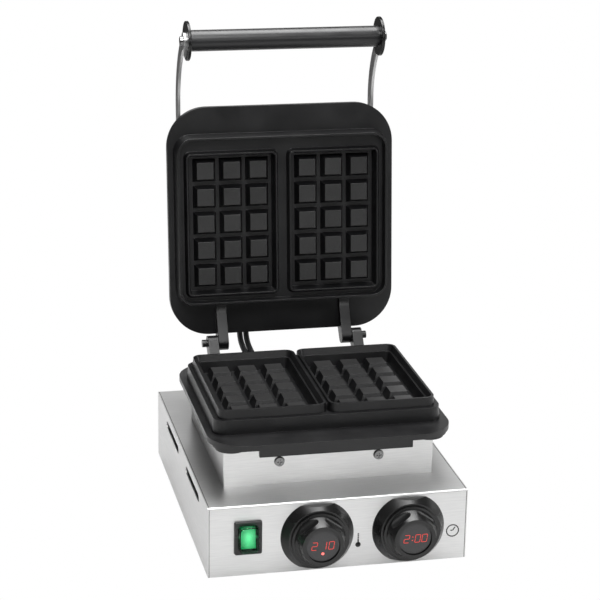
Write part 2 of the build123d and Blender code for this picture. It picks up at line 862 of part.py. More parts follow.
disc_thickness = cover_half_width - grip_half_length
for side, name in ((-1, "left_handle_disc"), (1, "right_handle_disc")):
    with BuildPart() as handle_disc:
        with BuildSketch(lid_across(min(side * grip_half_length, side * cover_half_width))):
            with Locations((grip_depth, grip_level)):
                Circle(disc_radius)
                Circle(rod_radius + press, mode=Mode.SUBTRACT)
        extrude(amount=disc_thickness)
        fillet(handle_disc.edges().filter_by(GeomType.CIRCLE).group_by(SortBy.RADIUS)[-1], disc_thickness / 4)
        groove_x = side * (grip_half_length + disc_thickness / 2) - disc_groove / 2
        with BuildSketch(lid_across(groove_x)):
            with Locations((grip_depth, grip_level)):
                Circle(disc_radius + disc_groove)
                Circle(disc_radius - disc_groove, mode=Mode.SUBTRACT)
        extrude(amount=disc_groove, mode=Mode.SUBTRACT)
    save(handle_disc.part, name)

with BuildPart() as handle_rod:
    with BuildSketch(lid_across(-arm_outer)):
        with Locations((grip_depth, grip_level)):
            Circle(rod_radius)
    extrude(amount=2 * arm_outer + rod_head_height)
    with BuildSketch(lid_across(-arm_outer)):
        with Locations((grip_depth, grip_level)):
            Circle(rod_head)
    extrude(amount=-rod_head_height, taper=rod_head_draft)
    with BuildSketch(lid_across(-arm_outer - rod_head_height)):
        with Locations((grip_depth, grip_level)):
            RegularPolygon(rod_radius, 6)
    extrude(amount=rod_head_height / 2, mode=Mode.SUBTRACT)
save(handle_rod.part, "handle_rod")

with BuildPart() as handle_nut:
    with BuildSketch(lid_across(arm_outer)):
        with Locations((grip_depth, grip_level)):
            RegularPolygon(rod_head, 6)
            Circle(rod_radius + press, mode=Mode.SUBTRACT)
    extrude(amount=rod_head_height - skin)
save(handle_nut.part, "handle_nut")

# Rocker switch: frame, rocker and clear cover
with BuildPart() as switch_frame:
    with BuildSketch(facing(0)):
        with Locations((switch_x, switch_level)):
            RectangleRounded(switch_width, switch_tall, switch_corner)
    extrude(amount=switch_rim, taper=switch_draft)
    with BuildSketch(facing(0)):
        with Locations((switch_x, switch_level)):
            Rectangle(switch_body_width, switch_body_tall)
    extrude(amount=-switch_body_depth)
    with BuildSketch(facing(-switch_rim)):
        with Locations((switch_x, switch_level)):
            Rectangle(window_width, window_tall)
    extrude(amount=-window_depth, mode=Mode.SUBTRACT)
    pivot_reach = window_width / 2 + rocker_pivot_length + skin
    with BuildSketch(across(switch_x - pivot_reach)):
        with Locations((rocker_axis_depth, switch_level)):
            Circle(rocker_pivot_radius + running)
    extrude(amount=2 * pivot_reach, mode=Mode.SUBTRACT)
save(switch_frame.part, "switch_frame")

rocker_lean = radians(rocker_tilt)
rocker_plane = Plane(
    origin=base_point(switch_x - rocker_width / 2, rocker_axis_depth, switch_level),
    x_dir=(0, cos(rocker_lean), -sin(rocker_lean)),
    z_dir=(1, 0, 0),
)
with BuildPart() as rocker:
    with BuildSketch(rocker_plane):
        with BuildLine():
            half_tall = rocker_tall / 2
            face_top = (-rocker_front, half_tall)
            face_low = (-rocker_front, -half_tall)
            ThreePointArc(face_top, (rocker_dish - rocker_front, 0), face_low)
            back_low = (rocker_behind / 2, -half_tall)
            back_top = (rocker_behind / 2, half_tall)
            Polyline(face_low, back_low, (rocker_behind, 0), back_top, face_top)
        make_face()
    extrude(amount=rocker_width)
    with BuildSketch(rocker_plane.offset(-(window_width - rocker_width) / 2 - rocker_pivot_length)):
        Circle(rocker_pivot_radius)
    extrude(amount=window_width + 2 * rocker_pivot_length)
save(rocker.part, "rocker")

with BuildPart() as switch_cover:
    with BuildSketch(facing(-switch_rim)):
        with Locations((switch_x, switch_level)):
            RectangleRounded(dome_width, dome_tall, dome_corner)
    extrude(amount=dome_rise, taper=dome_draft)
    fillet(switch_cover.faces().sort_by(Axis.Y)[0].edges(), dome_round)
    with BuildSketch(facing(-switch_rim)):
        with Locations((switch_x, switch_level)):
            RectangleRounded(dome_width - 2 * dome_wall, dome_tall - 2 * dome_wall, dome_corner - dome_wall)
    extrude(amount=dome_rise - dome_wall, taper=dome_draft, mode=Mode.SUBTRACT)
save(switch_cover.part, "switch_cover")


# Knobs: bezel, turning ring, fixed stem with lens, and encoder behind the panel
knob_back = bezel_depth + knob_gap
knob_front = knob_back + knob_depth
stem_front = knob_front - lens_recess
scoop_reach = (knob_back + knob_band + knob_front) / 2
scoop_ring = (knob_radius - knob_band + knob_front_radius) / 2 + scoop_radius - scoop_bite
for name, x in knob_x.items():
    axis_plane = Plane(origin=base_point(x, 0, knob_level), x_dir=(1, 0, 0), z_dir=(0, 0, 1))
    knob_axis = Axis(base_point(x, 0, knob_level), (0, -1, 0))
    front_plane = Plane(origin=base_point(x, 0, knob_level), x_dir=(1, 0, 0), z_dir=(0, -1, 0))
    with BuildPart() as knob_bezel:
        with BuildSketch(front_plane):
            Circle(bezel_radius)
        extrude(amount=bezel_depth, taper=bezel_draft)
        with BuildSketch(front_plane):
            Rectangle(2 * bezel_radius, 2 * bezel_flat)
        extrude(amount=bezel_depth, mode=Mode.INTERSECT)
        with BuildSketch(front_plane):
            Circle(stem_radius + skin)
        extrude(amount=bezel_depth, mode=Mode.SUBTRACT)
    save(knob_bezel.part, f"{name}_bezel")
    with BuildPart() as knob_ring:
        with BuildSketch(axis_plane):
            with BuildLine():
                Polyline(
                    (stem_radius + running, -knob_back), (knob_radius, -knob_back),
                    (knob_radius, -knob_back - knob_band), (knob_radius - knob_band, -knob_back - knob_band),
                    (knob_front_radius, -knob_front), (stem_radius + running, -knob_front),
                    close=True,
                )
            make_face()
        revolve(axis=knob_axis)
        with Locations(front_plane.offset(scoop_reach)):
            with PolarLocations(scoop_ring, scoop_count, scoop_start):
                Cylinder(scoop_radius, scoop_length, rotation=(90, 0, 0), mode=Mode.SUBTRACT)
    save(knob_ring.part, f"{name}_knob")
    with BuildPart() as display_stem:
        with BuildSketch(front_plane):
            Circle(stem_radius)
        extrude(amount=stem_front)
        with BuildSketch(front_plane):
            Circle(stem_neck)
        extrude(amount=-sheet)
        with BuildSketch(front_plane.offset(stem_front)):
            Circle(lens_radius + press)
        extrude(amount=-lens_thickness, mode=Mode.SUBTRACT)
    save(display_stem.part, f"{name}_display_stem")
    with BuildPart() as display_lens:
        with BuildSketch(front_plane.offset(stem_front)):
            Circle(lens_radius)
        extrude(amount=-lens_thickness)
    save(display_lens.part, f"{name}_display_lens")
    with BuildPart() as encoder:
        with BuildSketch(front_plane.offset(-sheet)):
            Circle(encoder_radius)
        extrude(amount=-encoder_depth)
    save(encoder.part, f"{name}_encoder")

# Control board on the backs of the two encoders
board_left = min(knob_x.values()) - board_side
board_right = max(knob_x.values()) + board_side
with BuildPart() as control_board:
    with BuildSketch(facing(sheet + encoder_depth)):
        area(board_left, board_right, knob_level - board_tall / 2, knob_level + board_tall / 2)
    extrude(amount=-board_thickness)
save(control_board.part, "control_board")

# Power relays and terminal block on the bottom plate
relay_span = relay_pitch * (relay_count - 1) + relay_width
relay_x = half_width - foot_inset - screw_radius - relay_side_room - relay_span / 2
relay_spot = (relay_x, base_depth - relay_back_room)
block_spot = (block_x, base_depth - block_back_room)
with BuildPart() as power_relays:
    with BuildSketch(level(2 * sheet)):
        with Locations(relay_spot):
            with GridLocations(relay_pitch, 1, relay_count, 1):
                Rectangle(relay_width, relay_length)
    extrude(amount=relay_height)
save(power_relays.part, "power_relays")

with BuildPart() as terminal_block:
    with BuildSketch(level(2 * sheet)):
        with Locations(block_spot):
            Rectangle(block_width, block_depth)
    extrude(amount=block_height)
    with BuildSketch(level(2 * sheet + block_height)):
        with Locations(block_spot):
            with GridLocations(block_width / block_ways, 1, block_ways, 1):
                Circle(block_hole)
    extrude(amount=-block_height / 2, mode=Mode.SUBTRACT)
save(terminal_block.part, "terminal_block")

# Cord gland through the back panel, with its nut inside
gland_plane = Plane(origin=base_point(gland_x, base_depth, gland_level), x_dir=(1, 0, 0), z_dir=(0, 1, 0))
with BuildPart() as cord_gland:
    with BuildSketch(gland_plane):
        Circle(gland_flange_radius)
    extrude(amount=gland_flange)
    with BuildSketch(gland_plane.offset(gland_flange)):
        Circle(gland_radius)
    extrude(amount=gland_length, taper=gland_draft)
    with BuildSketch(gland_plane):
        Circle(gland_radius)
    extrude(amount=-gland_inside)
    with BuildSketch(gland_plane.offset(-gland_inside)):
        Circle(gland_bore)
    extrude(amount=gland_inside + gland_flange + gland_length, mode=Mode.SUBTRACT)
save(cord_gland.part, "cord_gland")

with BuildPart() as gland_nut:
    with BuildSketch(gland_plane.offset(-sheet)):
        RegularPolygon(gland_nut_radius, 6)
        Circle(gland_radius + press, mode=Mode.SUBTRACT)
    extrude(amount=-gland_nut_depth)
save(gland_nut.part, "gland_nut")


def hose_fitting(plane, wall):
    """Flanged fitting on a sheet, with a spigot through it."""
    with BuildPart() as fitting:
        with BuildSketch(plane):
            Circle(fitting_flange_radius)
        extrude(amount=fitting_flange)
        with BuildSketch(plane.offset(fitting_flange)):
            Circle(fitting_radius)
        extrude(amount=fitting_height)
        with BuildSketch(plane):
            Circle(fitting_radius)
        extrude(amount=-wall - fitting_spigot)
    return fitting.part


base_hose_plane = Plane(origin=base_point(hose_base_x, hose_base_depth, base_height))
save(hose_fitting(base_hose_plane, sheet), "conduit_base_fitting")
save(hose_fitting(lid_hose_plane, cover_wall), "conduit_lid_fitting")

# Two hoses from the lid's fitting to the base's fitting
fitting_reach = fitting_flange + fitting_height
hose_top = lid_hose_plane.origin + lid_rear * fitting_reach
hose_foot = base_hose_plane.origin + Vector(0, 0, fitting_reach)
route = [hose_top, hose_top + lid_rear * hose_straight]
route += [base_point(*spot) for spot in hose_middle]
route += [hose_foot + Vector(0, 0, hose_straight), hose_foot]


def bend_radii(points):
    """Largest arc at each corner that its two runs leave room for."""
    radii = []
    for before, corner, after in zip(points, points[1:], points[2:]):
        run_in = corner - before
        run_out = after - corner
        turn = radians(run_in.get_angle(run_out))
        radii.append(bend_share * min(run_in.length, run_out.length) / tan(turn / 2))
    return radii


with BuildPart() as lid_conduit:
    for side in (-1, 1):
        points = [point + Vector(side * hose_spacing / 2, 0, 0) for point in route]
        with BuildLine():
            hose_line = FilletPolyline(*points, radius=bend_radii(points))
        with BuildSketch(Plane(origin=hose_line @ 0, z_dir=hose_line % 0)):
            Circle(hose_radius)
        sweep(path=hose_line)
        print("hose length", round(hose_line.length, 1), "radii", [round(r, 1) for r in bend_radii(points)])
save(lid_conduit.part, "lid_conduit")
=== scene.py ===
import json
from math import cos, radians, sin, tau

import bmesh
import bpy
from mathutils import Matrix, Vector


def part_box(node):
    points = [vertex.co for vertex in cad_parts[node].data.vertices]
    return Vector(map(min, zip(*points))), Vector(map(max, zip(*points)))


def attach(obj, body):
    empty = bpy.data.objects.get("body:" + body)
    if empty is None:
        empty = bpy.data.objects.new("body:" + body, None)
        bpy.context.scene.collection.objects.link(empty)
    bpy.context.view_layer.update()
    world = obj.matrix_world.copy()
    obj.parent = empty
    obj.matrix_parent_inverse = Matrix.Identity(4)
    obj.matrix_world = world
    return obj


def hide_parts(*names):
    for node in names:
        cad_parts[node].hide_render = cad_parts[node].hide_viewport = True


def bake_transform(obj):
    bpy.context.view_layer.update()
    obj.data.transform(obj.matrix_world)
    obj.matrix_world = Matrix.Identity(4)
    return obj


# Brussels waffle maker with its lid open. Metres, in the part's own frame.

# Camera
CAMERA_PLACE = (-0.43014, -1.87211, 0.86335)
CAMERA_YAW = 12.722
CAMERA_PITCH = 18.191
CAMERA_ROLL = 0.960
CAMERA_LENS = 119.65
SENSOR = 36.0

# Studio
WORLD_LIGHT = 0.09
FLOOR_SIZE = 3.2
FLOOR_SHADE = 0.58

# Edge rounding of the castings and sheet pieces: widths, the sharpest angle left alone, what counts as one flat
CAST_ROUND = 0.0010
SHEET_ROUND = 0.0004
ROUND_ANGLE = 32
FLAT_ANGLE = 0.6
WELD = 1e-6

# Roughness range of the non-stick coating
COATING_SHEEN = (0.30, 0.42)

# Stud tops on the baking plates, which get a painted highlight: how flat and how wide they are, and the corners
# they have at most
STUD_FLATNESS = 0.002
STUD_SPAN = (0.008, 0.020)
STUD_CORNERS = 12

# Displays
SEGMENT = 0.00050
DIGIT_WIDTH = 0.0050
DIGIT_HEIGHT = 0.0078
DIGIT_SLANT = 0.14
DIGIT_PROUD = 0.0001
LAMP_DROP = 0.0082
LAMP_RADIUS = 0.0014
COLON_RADIUS = 0.0005

# Marks on the front panel
MARK_PROUD = 0.00008
THERMOMETER_X = 0.0194
THERMOMETER_LEVEL = 0.0308
BULB_RADIUS = 0.0027
STEM_HALF = 0.0007
STEM_RISE = 0.0050
SCALE_DOTS = 4
DOT_PITCH = 0.0021
DOT_RADIUS = 0.0009
CLOCK_X = 0.1150
CLOCK_LEVEL = 0.0378
CLOCK_RADIUS = 0.0067
RING_WIDTH = 0.0012
HAND_ENDS = ((0.0026, 0.0040), (-0.0024, 0.0006))
HAND_HALF = 0.0006

# Seams of the casing, which stop short of its rounded folds
SEAM_WIDTH = 0.0005
FOLD = 0.002

# Hose route from the lid to the base, and its size
HOSE_ROUTE = [
    (-0.0400, 0.1376, 0.1622), (-0.0400, 0.1364, 0.1503), (-0.0365, 0.1361, 0.1360),
    (-0.0280, 0.1341, 0.1200), (-0.0200, 0.1316, 0.1027), (-0.0200, 0.1316, 0.0907),
]
HOSE_RADIUS = 0.0031
HOSE_SPACING = 0.0068
HOSE_FACETS = 5
HOSE_STEPS = 12

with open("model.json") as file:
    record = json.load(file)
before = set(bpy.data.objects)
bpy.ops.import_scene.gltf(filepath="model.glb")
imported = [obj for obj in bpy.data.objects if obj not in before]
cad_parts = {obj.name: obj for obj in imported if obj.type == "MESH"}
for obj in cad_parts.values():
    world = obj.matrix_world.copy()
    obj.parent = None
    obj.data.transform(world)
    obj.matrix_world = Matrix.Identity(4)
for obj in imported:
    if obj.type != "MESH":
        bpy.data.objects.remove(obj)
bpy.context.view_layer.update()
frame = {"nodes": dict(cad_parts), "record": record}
nodes = frame["nodes"]


def node_tree(name):
    """New material with an empty node tree."""
    material = bpy.data.materials.new(name)
    material.use_nodes = True
    material.node_tree.nodes.clear()
    return material, material.node_tree.nodes, material.node_tree.links


def shader(name, roughness, metallic=0.0):
    """Material with one principled shader, and the shader."""
    material, tree, links = node_tree(name)
    output = tree.new("ShaderNodeOutputMaterial")
    surface = tree.new("ShaderNodeBsdfPrincipled")
    surface.inputs["Roughness"].default_value = roughness
    surface.inputs["Metallic"].default_value = metallic
    links.new(surface.outputs["BSDF"], output.inputs["Surface"])
    return material, surface


def noise(material, scale, detail=4.0, stretch=(1, 1, 1)):
    """Noise over the object's own coordinates."""
    tree = material.node_tree.nodes
    links = material.node_tree.links
    place = tree.new("ShaderNodeTexCoord")
    mapping = tree.new("ShaderNodeMapping")
    mapping.inputs["Scale"].default_value = stretch
    texture = tree.new("ShaderNodeTexNoise")
    texture.inputs["Scale"].default_value = scale
    texture.inputs["Detail"].default_value = detail
    links.new(place.outputs["Object"], mapping.inputs["Vector"])
    links.new(mapping.outputs["Vector"], texture.inputs["Vector"])
    return texture.outputs["Fac"]


def ramp_to(material, value, socket, low, high, start=0.3, end=0.7):
    """Colour ramp from a value into a shader's socket."""
    ramp = material.node_tree.nodes.new("ShaderNodeValToRGB")
    ramp.color_ramp.elements[0].position = start
    ramp.color_ramp.elements[1].position = end
    ramp.color_ramp.elements[0].color = (*low, 1)
    ramp.color_ramp.elements[1].color = (*high, 1)
    material.node_tree.links.new(value, ramp.inputs["Fac"])
    material.node_tree.links.new(ramp.outputs["Color"], socket)


def range_to(material, value, socket, low, high):
    """Value spread over a range into a shader's socket."""
    spread = material.node_tree.nodes.new("ShaderNodeMapRange")
    spread.inputs["From Min"].default_value = 0.3
    spread.inputs["From Max"].default_value = 0.7
    spread.inputs["To Min"].default_value = low
    spread.inputs["To Max"].default_value = high
    material.node_tree.links.new(value, spread.inputs["Value"])
    material.node_tree.links.new(spread.outputs["Result"], socket)


def bump_to(material, surface, value, strength, distance):
    """Bump from a value into a shader's normal."""
    bump = material.node_tree.nodes.new("ShaderNodeBump")
    bump.inputs["Strength"].default_value = strength
    bump.inputs["Distance"].default_value = distance
    material.node_tree.links.new(value, bump.inputs["Height"])
    material.node_tree.links.new(bump.outputs["Normal"], surface.inputs["Normal"])


def brushed(name, low, high, roughness, stretch, depth=0.12):
    """Brushed steel: long fine scratches along one direction."""
    material, surface = shader(name, roughness, metallic=1.0)
    scratches = noise(material, 2600, 4.0, stretch)
    clouds = noise(material, 6, 2.0)
    ramp_to(material, scratches, surface.inputs["Base Color"], low, high)
    range_to(material, clouds, surface.inputs["Roughness"], roughness - 0.03, roughness + 0.05)
    bump_to(material, surface, scratches, depth, 0.00004)
    return material


def coated(name, dark, light):
    """Non-stick coating over a casting: fine speckle and slightly uneven sheen."""
    material, surface = shader(name, max(COATING_SHEEN))
    speckle = noise(material, 1400, 3.0)
    clouds = noise(material, 30, 3.0)
    ramp_to(material, speckle, surface.inputs["Base Color"], dark, light)
    range_to(material, clouds, surface.inputs["Roughness"], *COATING_SHEEN)
    bump_to(material, surface, speckle, 0.35, 0.00012)
    return material


def moulded(name, colour, roughness, grain=0.06, coat=0.0):
    """Moulded plastic with a faint grain and uneven gloss."""
    material, surface = shader(name, roughness)
    surface.inputs["Coat Weight"].default_value = coat
    surface.inputs["Coat Roughness"].default_value = 0.05
    grains = noise(material, 1800, 2.0)
    clouds = noise(material, 40, 2.0)
    bright = tuple(c * 1.5 + 0.001 for c in colour)
    ramp_to(material, grains, surface.inputs["Base Color"], colour, bright)
    range_to(material, clouds, surface.inputs["Roughness"], roughness - 0.03, roughness + 0.05)
    bump_to(material, surface, grains, grain, 0.00005)
    return material


def glowing(name, colour, strength):
    """Lit part of a display, faintly uneven."""
    material, surface = shader(name, 0.4)
    surface.inputs["Emission Strength"].default_value = strength
    grains = noise(material, 900, 2.0)
    dim = tuple(c * 0.8 for c in colour)
    ramp_to(material, grains, surface.inputs["Emission Color"], dim, colour)
    surface.inputs["Base Color"].default_value = (*dim, 1)
    return material


def lit_rocker():
    """Green rocker lit from inside, brightest in the middle."""
    material, surface = shader("green_lens", 0.25)
    low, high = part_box("rocker")
    middle = (low + high) / 2
    tree = material.node_tree.nodes
    links = material.node_tree.links
    place = tree.new("ShaderNodeTexCoord")
    mapping = tree.new("ShaderNodeMapping")
    mapping.vector_type = "TEXTURE"
    mapping.inputs["Location"].default_value = middle
    mapping.inputs["Scale"].default_value = (0.0085, 0.02, 0.0125)
    sphere = tree.new("ShaderNodeTexGradient")
    sphere.gradient_type = "SPHERICAL"
    links.new(place.outputs["Object"], mapping.inputs["Vector"])
    links.new(mapping.outputs["Vector"], sphere.inputs["Vector"])
    surface.inputs["Base Color"].default_value = (0.01, 0.28, 0.12, 1)
    surface.inputs["Emission Strength"].default_value = 1.0
    ramp_to(
        material, sphere.outputs["Fac"], surface.inputs["Emission Color"],
        (0.0, 0.06, 0.02), (0.26, 0.72, 0.45), 0.02, 0.85,
    )
    range_to(material, noise(material, 300), surface.inputs["Roughness"], 0.2, 0.3)
    return material


def clear(name, colour, roughness):
    """Clear moulded cover with a light tint."""
    material, surface = shader(name, roughness)
    surface.inputs["Transmission Weight"].default_value = 1.0
    surface.inputs["IOR"].default_value = 1.2
    clouds = noise(material, 120, 2.0)
    ramp_to(material, clouds, surface.inputs["Base Color"], colour, tuple(min(1, c * 1.1) for c in colour))
    range_to(material, clouds, surface.inputs["Roughness"], roughness, roughness + 0.08)
    return material


along_x = (0.02, 1, 1)
along_y = (1, 0.02, 1)
looks = {
    "casing_steel": brushed("casing_steel", (0.63, 0.63, 0.63), (0.72, 0.72, 0.715), 0.38, along_x, 0.05),
    # Darker copy of the casing steel for the side panels: the darker tone is painted shade, the brushing along
    # Y is the panels' own
    "shaded_side_steel": brushed("shaded_side_steel", (0.58, 0.58, 0.58), (0.67, 0.67, 0.665), 0.38, along_y, 0.05),
    "inner_steel": brushed("inner_steel", (0.35, 0.34, 0.33), (0.48, 0.47, 0.46), 0.40, along_x),
    "screw_steel": brushed("screw_steel", (0.10, 0.10, 0.10), (0.30, 0.30, 0.30), 0.22, (1, 1, 1), 0.05),
    "arm_steel": brushed("arm_steel", (0.42, 0.42, 0.42), (0.55, 0.55, 0.55), 0.36, (1, 1, 0.05)),
    "coated_casting": coated("coated_casting", (0.0015, 0.0015, 0.0018), (0.005, 0.005, 0.0055)),
    # Lighter copy of the coating for the stud tops, a painted highlight
    "stud_highlight_coating": coated("stud_highlight_coating", (0.010, 0.010, 0.010), (0.026, 0.026, 0.026)),
    "pin_steel": moulded("pin_steel", (0.012, 0.012, 0.012), 0.3),
    "black_plastic": moulded("black_plastic", (0.0025, 0.0025, 0.0025), 0.28, 0.03),
    "grip_plastic": moulded("grip_plastic", (0.005, 0.005, 0.0055), 0.34),
    "black_rubber": moulded("black_rubber", (0.014, 0.014, 0.014), 0.62, 0.2),
    "green_lens": lit_rocker(),
    "clear_cover": clear("clear_cover", (0.55, 0.92, 0.70), 0.05),
    "display_glass": moulded("display_glass", (0.022, 0.022, 0.023), 0.22, 0.01),
    "insulation": moulded("insulation", (0.55, 0.53, 0.48), 0.9, 0.6),
    "inner_plastic": moulded("inner_plastic", (0.02, 0.02, 0.02), 0.42),
    "circuit_board": moulded("circuit_board", (0.02, 0.14, 0.06), 0.4),
    "hose_plastic": moulded("hose_plastic", (0.018, 0.018, 0.019), 0.38),
    "red_light": glowing("red_light", (0.62, 0.035, 0.025), 1.0),
    "red_lamp": glowing("red_lamp", (1.0, 0.16, 0.14), 1.3),
    "panel_ink": moulded("panel_ink", (0.006, 0.006, 0.006), 0.5),
    "seam_shadow": moulded("seam_shadow", (0.012, 0.012, 0.012), 0.7),
}


def paint(piece, look):
    """Give a piece one material."""
    piece.data.materials.clear()
    piece.data.materials.append(looks[look])


slot_of = {entry["node"]: entry["material_slot"] for entry in frame["record"]["subparts"]}
# The side panels take the darker steel, a painted shade
look_of = {
    **slot_of, "left_side_panel": "shaded_side_steel", "right_side_panel": "shaded_side_steel", "hinge_pins": "pin_steel",
}
for node, look in look_of.items():
    paint(nodes[node], look)


def body_of(node):
    """Body that a node belongs to."""
    bodies = frame["record"]["behaviour"]["bodies"]
    return next(body for body, members in bodies.items() if node in members)


def add_mesh(name, shape, look, body):
    """Make an object of a bmesh, painted, riding on a body."""
    mesh = bpy.data.meshes.new(name)
    shape.to_mesh(mesh)
    shape.free()
    piece = bpy.data.objects.new(name, mesh)
    bpy.context.collection.objects.link(piece)
    paint(piece, look)
    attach(piece, body)
    return piece


def soften(node, width):
    """Stand for a CAD node with the same shape, its sharp edges rounded."""
    source = nodes[node]
    shape = bmesh.new()
    shape.from_mesh(source.data)
    bmesh.ops.remove_doubles(shape, verts=shape.verts, dist=WELD)
    bmesh.ops.dissolve_limit(shape, angle_limit=radians(FLAT_ANGLE), verts=shape.verts, edges=shape.edges)
    piece = add_mesh(node + "_rounded", shape, look_of[node], body_of(node))
    bevel = piece.modifiers.new("rounding", "BEVEL")
    bevel.width = width
    bevel.segments = 2
    bevel.limit_method = "ANGLE"
    bevel.angle_limit = radians(ROUND_ANGLE)
    bevel.harden_normals = False
    for face in piece.data.polygons:
        face.use_smooth = True
    piece.modifiers.new("flats", "WEIGHTED_NORMAL").keep_sharp = True
    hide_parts(node)
    return piece


def paint_stud_highlights(piece):
    """Paint the flat tops of the studs with a lighter copy of the coating, a painted highlight for the light
    falling on them.
    """
    piece.data.materials.append(looks["stud_highlight_coating"])
    for face in piece.data.polygons:
        corners = [piece.data.vertices[i].co for i in face.vertices]
        spans = sorted(max(c[axis] for c in corners) - min(c[axis] for c in corners) for axis in range(3))
        flat = spans[0] < STUD_FLATNESS
        stud_sized = STUD_SPAN[0] < spans[1] and spans[2] < STUD_SPAN[1]
        if flat and stud_sized and len(corners) <= STUD_CORNERS:
            face.material_index = 1


soften("plate_tray", CAST_ROUND)
# The baking plates get their stud tops painted lighter, a painted highlight
for node in ("lower_baking_plate", "upper_baking_plate"):
    paint_stud_highlights(soften(node, CAST_ROUND))
for node in ("plate_housing", "upper_cover", "left_handle_arm", "right_handle_arm", "switch_frame"):
    soften(node, SHEET_ROUND)


def rectangle(left, right, bottom, top):
    """Corners of an upright rectangle in X and Z."""
    return [(left, bottom), (right, bottom), (right, top), (left, top)]


def plate(shape, corners, front, back):
    """Add a flat prism to a bmesh, its outline in X and Z, between two depths."""
    near = [shape.verts.new((x, front, z)) for x, z in corners]
    far = [shape.verts.new((x, back, z)) for x, z in corners]
    shape.faces.new(near)
    shape.faces.new(list(reversed(far)))
    count = len(corners)
    for i in range(count):
        j = (i + 1) % count
        shape.faces.new((near[j], near[i], far[i], far[j]))


def bar(shape, start, end, half, front, back):
    """Add a straight bar with pointed ends to a bmesh, like one segment of a display."""
    start = Vector(start)
    end = Vector(end)
    along = (end - start).normalized() * half
    side = Vector((-along.y, along.x))
    corners = [
        start, start + along + side, end - along + side, end, end - along - side, start + along - side,
    ]
    plate(shape, corners, front, back)


SEGMENTS = {"0": "abcdef", "1": "bc", "2": "abged"}


def digit(shape, letter, x, z, front, back):
    """Add one seven-segment digit, leaning to the right, to a bmesh."""
    w = DIGIT_WIDTH / 2
    h = DIGIT_HEIGHT / 2
    ends = {
        "a": ((-w, h), (w, h)), "b": ((w, h), (w, 0)), "c": ((w, 0), (w, -h)), "d": ((-w, -h), (w, -h)),
        "e": ((-w, -h), (-w, 0)), "f": ((-w, 0), (-w, h)), "g": ((-w, 0), (w, 0)),
    }
    for key in SEGMENTS[letter]:
        points = [(x + px + pz * DIGIT_SLANT, z + pz) for px, pz in ends[key]]
        first = Vector(points[0])
        last = Vector(points[1])
        inset = (last - first).normalized() * SEGMENT * 0.3
        bar(shape, first + inset, last - inset, SEGMENT / 2, front, back)


def disc(shape, x, z, radius, front, back, count=24):
    """Add a flat disc to a bmesh."""
    corners = [(x + radius * cos(tau * i / count), z + radius * sin(tau * i / count)) for i in range(count)]
    plate(shape, corners, front, back)


def ring(shape, x, z, outer, inner, front, back, count=48):
    """Add a flat ring to a bmesh, as a run of short plates."""
    for i in range(count):
        a = tau * i / count
        b = tau * (i + 1) / count
        corners = [
            (x + outer * cos(a), z + outer * sin(a)), (x + outer * cos(b), z + outer * sin(b)),
            (x + inner * cos(b), z + inner * sin(b)), (x + inner * cos(a), z + inner * sin(a)),
        ]
        plate(shape, corners, front, back)
    bmesh.ops.remove_doubles(shape, verts=shape.verts, dist=1e-7)


def display(name, letters, places, dots):
    """Lit digits and dots on a display's lens."""
    low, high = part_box(f"{name}_display_lens")
    x = (low.x + high.x) / 2
    z = (low.z + high.z) / 2
    front = low.y - DIGIT_PROUD
    back = low.y + DIGIT_PROUD
    shape = bmesh.new()
    for letter, place in zip(letters, places):
        digit(shape, letter, x + place, z, front, back)
    for dx, dz in dots:
        disc(shape, x + dx, z + dz, COLON_RADIUS, front, back)
    bmesh.ops.recalc_face_normals(shape, faces=shape.faces)
    add_mesh(f"{name}_digits", shape, "red_light", "base")


def lamp():
    """Round lamp under the temperature digits."""
    low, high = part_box("temperature_display_lens")
    shape = bmesh.new()
    middle = (low + high) / 2
    disc(shape, middle.x, middle.z - LAMP_DROP, LAMP_RADIUS, low.y - DIGIT_PROUD, low.y + DIGIT_PROUD)
    bmesh.ops.recalc_face_normals(shape, faces=shape.faces)
    add_mesh("heating_lamp", shape, "red_lamp", "base")


display("temperature", "210", (-0.0082, 0.0008, 0.0084), [])
display("timer", "200", (-0.0082, 0.0028, 0.0096), [(-0.0022, 0.0018), (-0.0026, -0.0018)])
lamp()

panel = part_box("base_cover")[0].y


def thermometer():
    """Thermometer mark beside the temperature dial: a bulb, a stem and a row of dots above."""
    front = panel - MARK_PROUD
    back = panel + MARK_PROUD
    x = THERMOMETER_X
    z = THERMOMETER_LEVEL
    shape = bmesh.new()
    disc(shape, x, z, BULB_RADIUS, front, back)
    plate(shape, rectangle(x - STEM_HALF, x + STEM_HALF, z, z + STEM_RISE), front, back)
    for i in range(SCALE_DOTS):
        disc(shape, x, z + STEM_RISE + i * DOT_PITCH, DOT_RADIUS, front, back, 12)
    bmesh.ops.recalc_face_normals(shape, faces=shape.faces)
    return add_mesh("thermometer_mark", shape, "panel_ink", "base")


def clock():
    """Clock mark beside the timer dial: a ring with two hands."""
    front = panel - MARK_PROUD
    back = panel + MARK_PROUD
    shape = bmesh.new()
    ring(shape, CLOCK_X, CLOCK_LEVEL, CLOCK_RADIUS, CLOCK_RADIUS - RING_WIDTH, front, back)
    centre = (CLOCK_X, CLOCK_LEVEL)
    for dx, dz in HAND_ENDS:
        bar(shape, centre, (CLOCK_X + dx, CLOCK_LEVEL + dz), HAND_HALF, front, back)
    bmesh.ops.recalc_face_normals(shape, faces=shape.faces)
    return add_mesh("clock_mark", shape, "panel_ink", "base")


thermometer()
clock()


def seam_lines():
    """Dark joints where the two side panels meet the folded cover, along its top and front edges."""
    low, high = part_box("base_cover")
    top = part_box("left_side_panel")[1].z
    shape = bmesh.new()
    for x in (low.x, high.x):
        inner = x - SEAM_WIDTH / 2
        outer = x + SEAM_WIDTH / 2
        plate(shape, rectangle(inner, outer, low.z, top - FOLD), low.y - MARK_PROUD, low.y)
        plate(shape, rectangle(inner, outer, top, top + MARK_PROUD), low.y + FOLD, high.y - FOLD)
    bmesh.ops.recalc_face_normals(shape, faces=shape.faces)
    return add_mesh("panel_seams", shape, "seam_shadow", "base")


seam_lines()


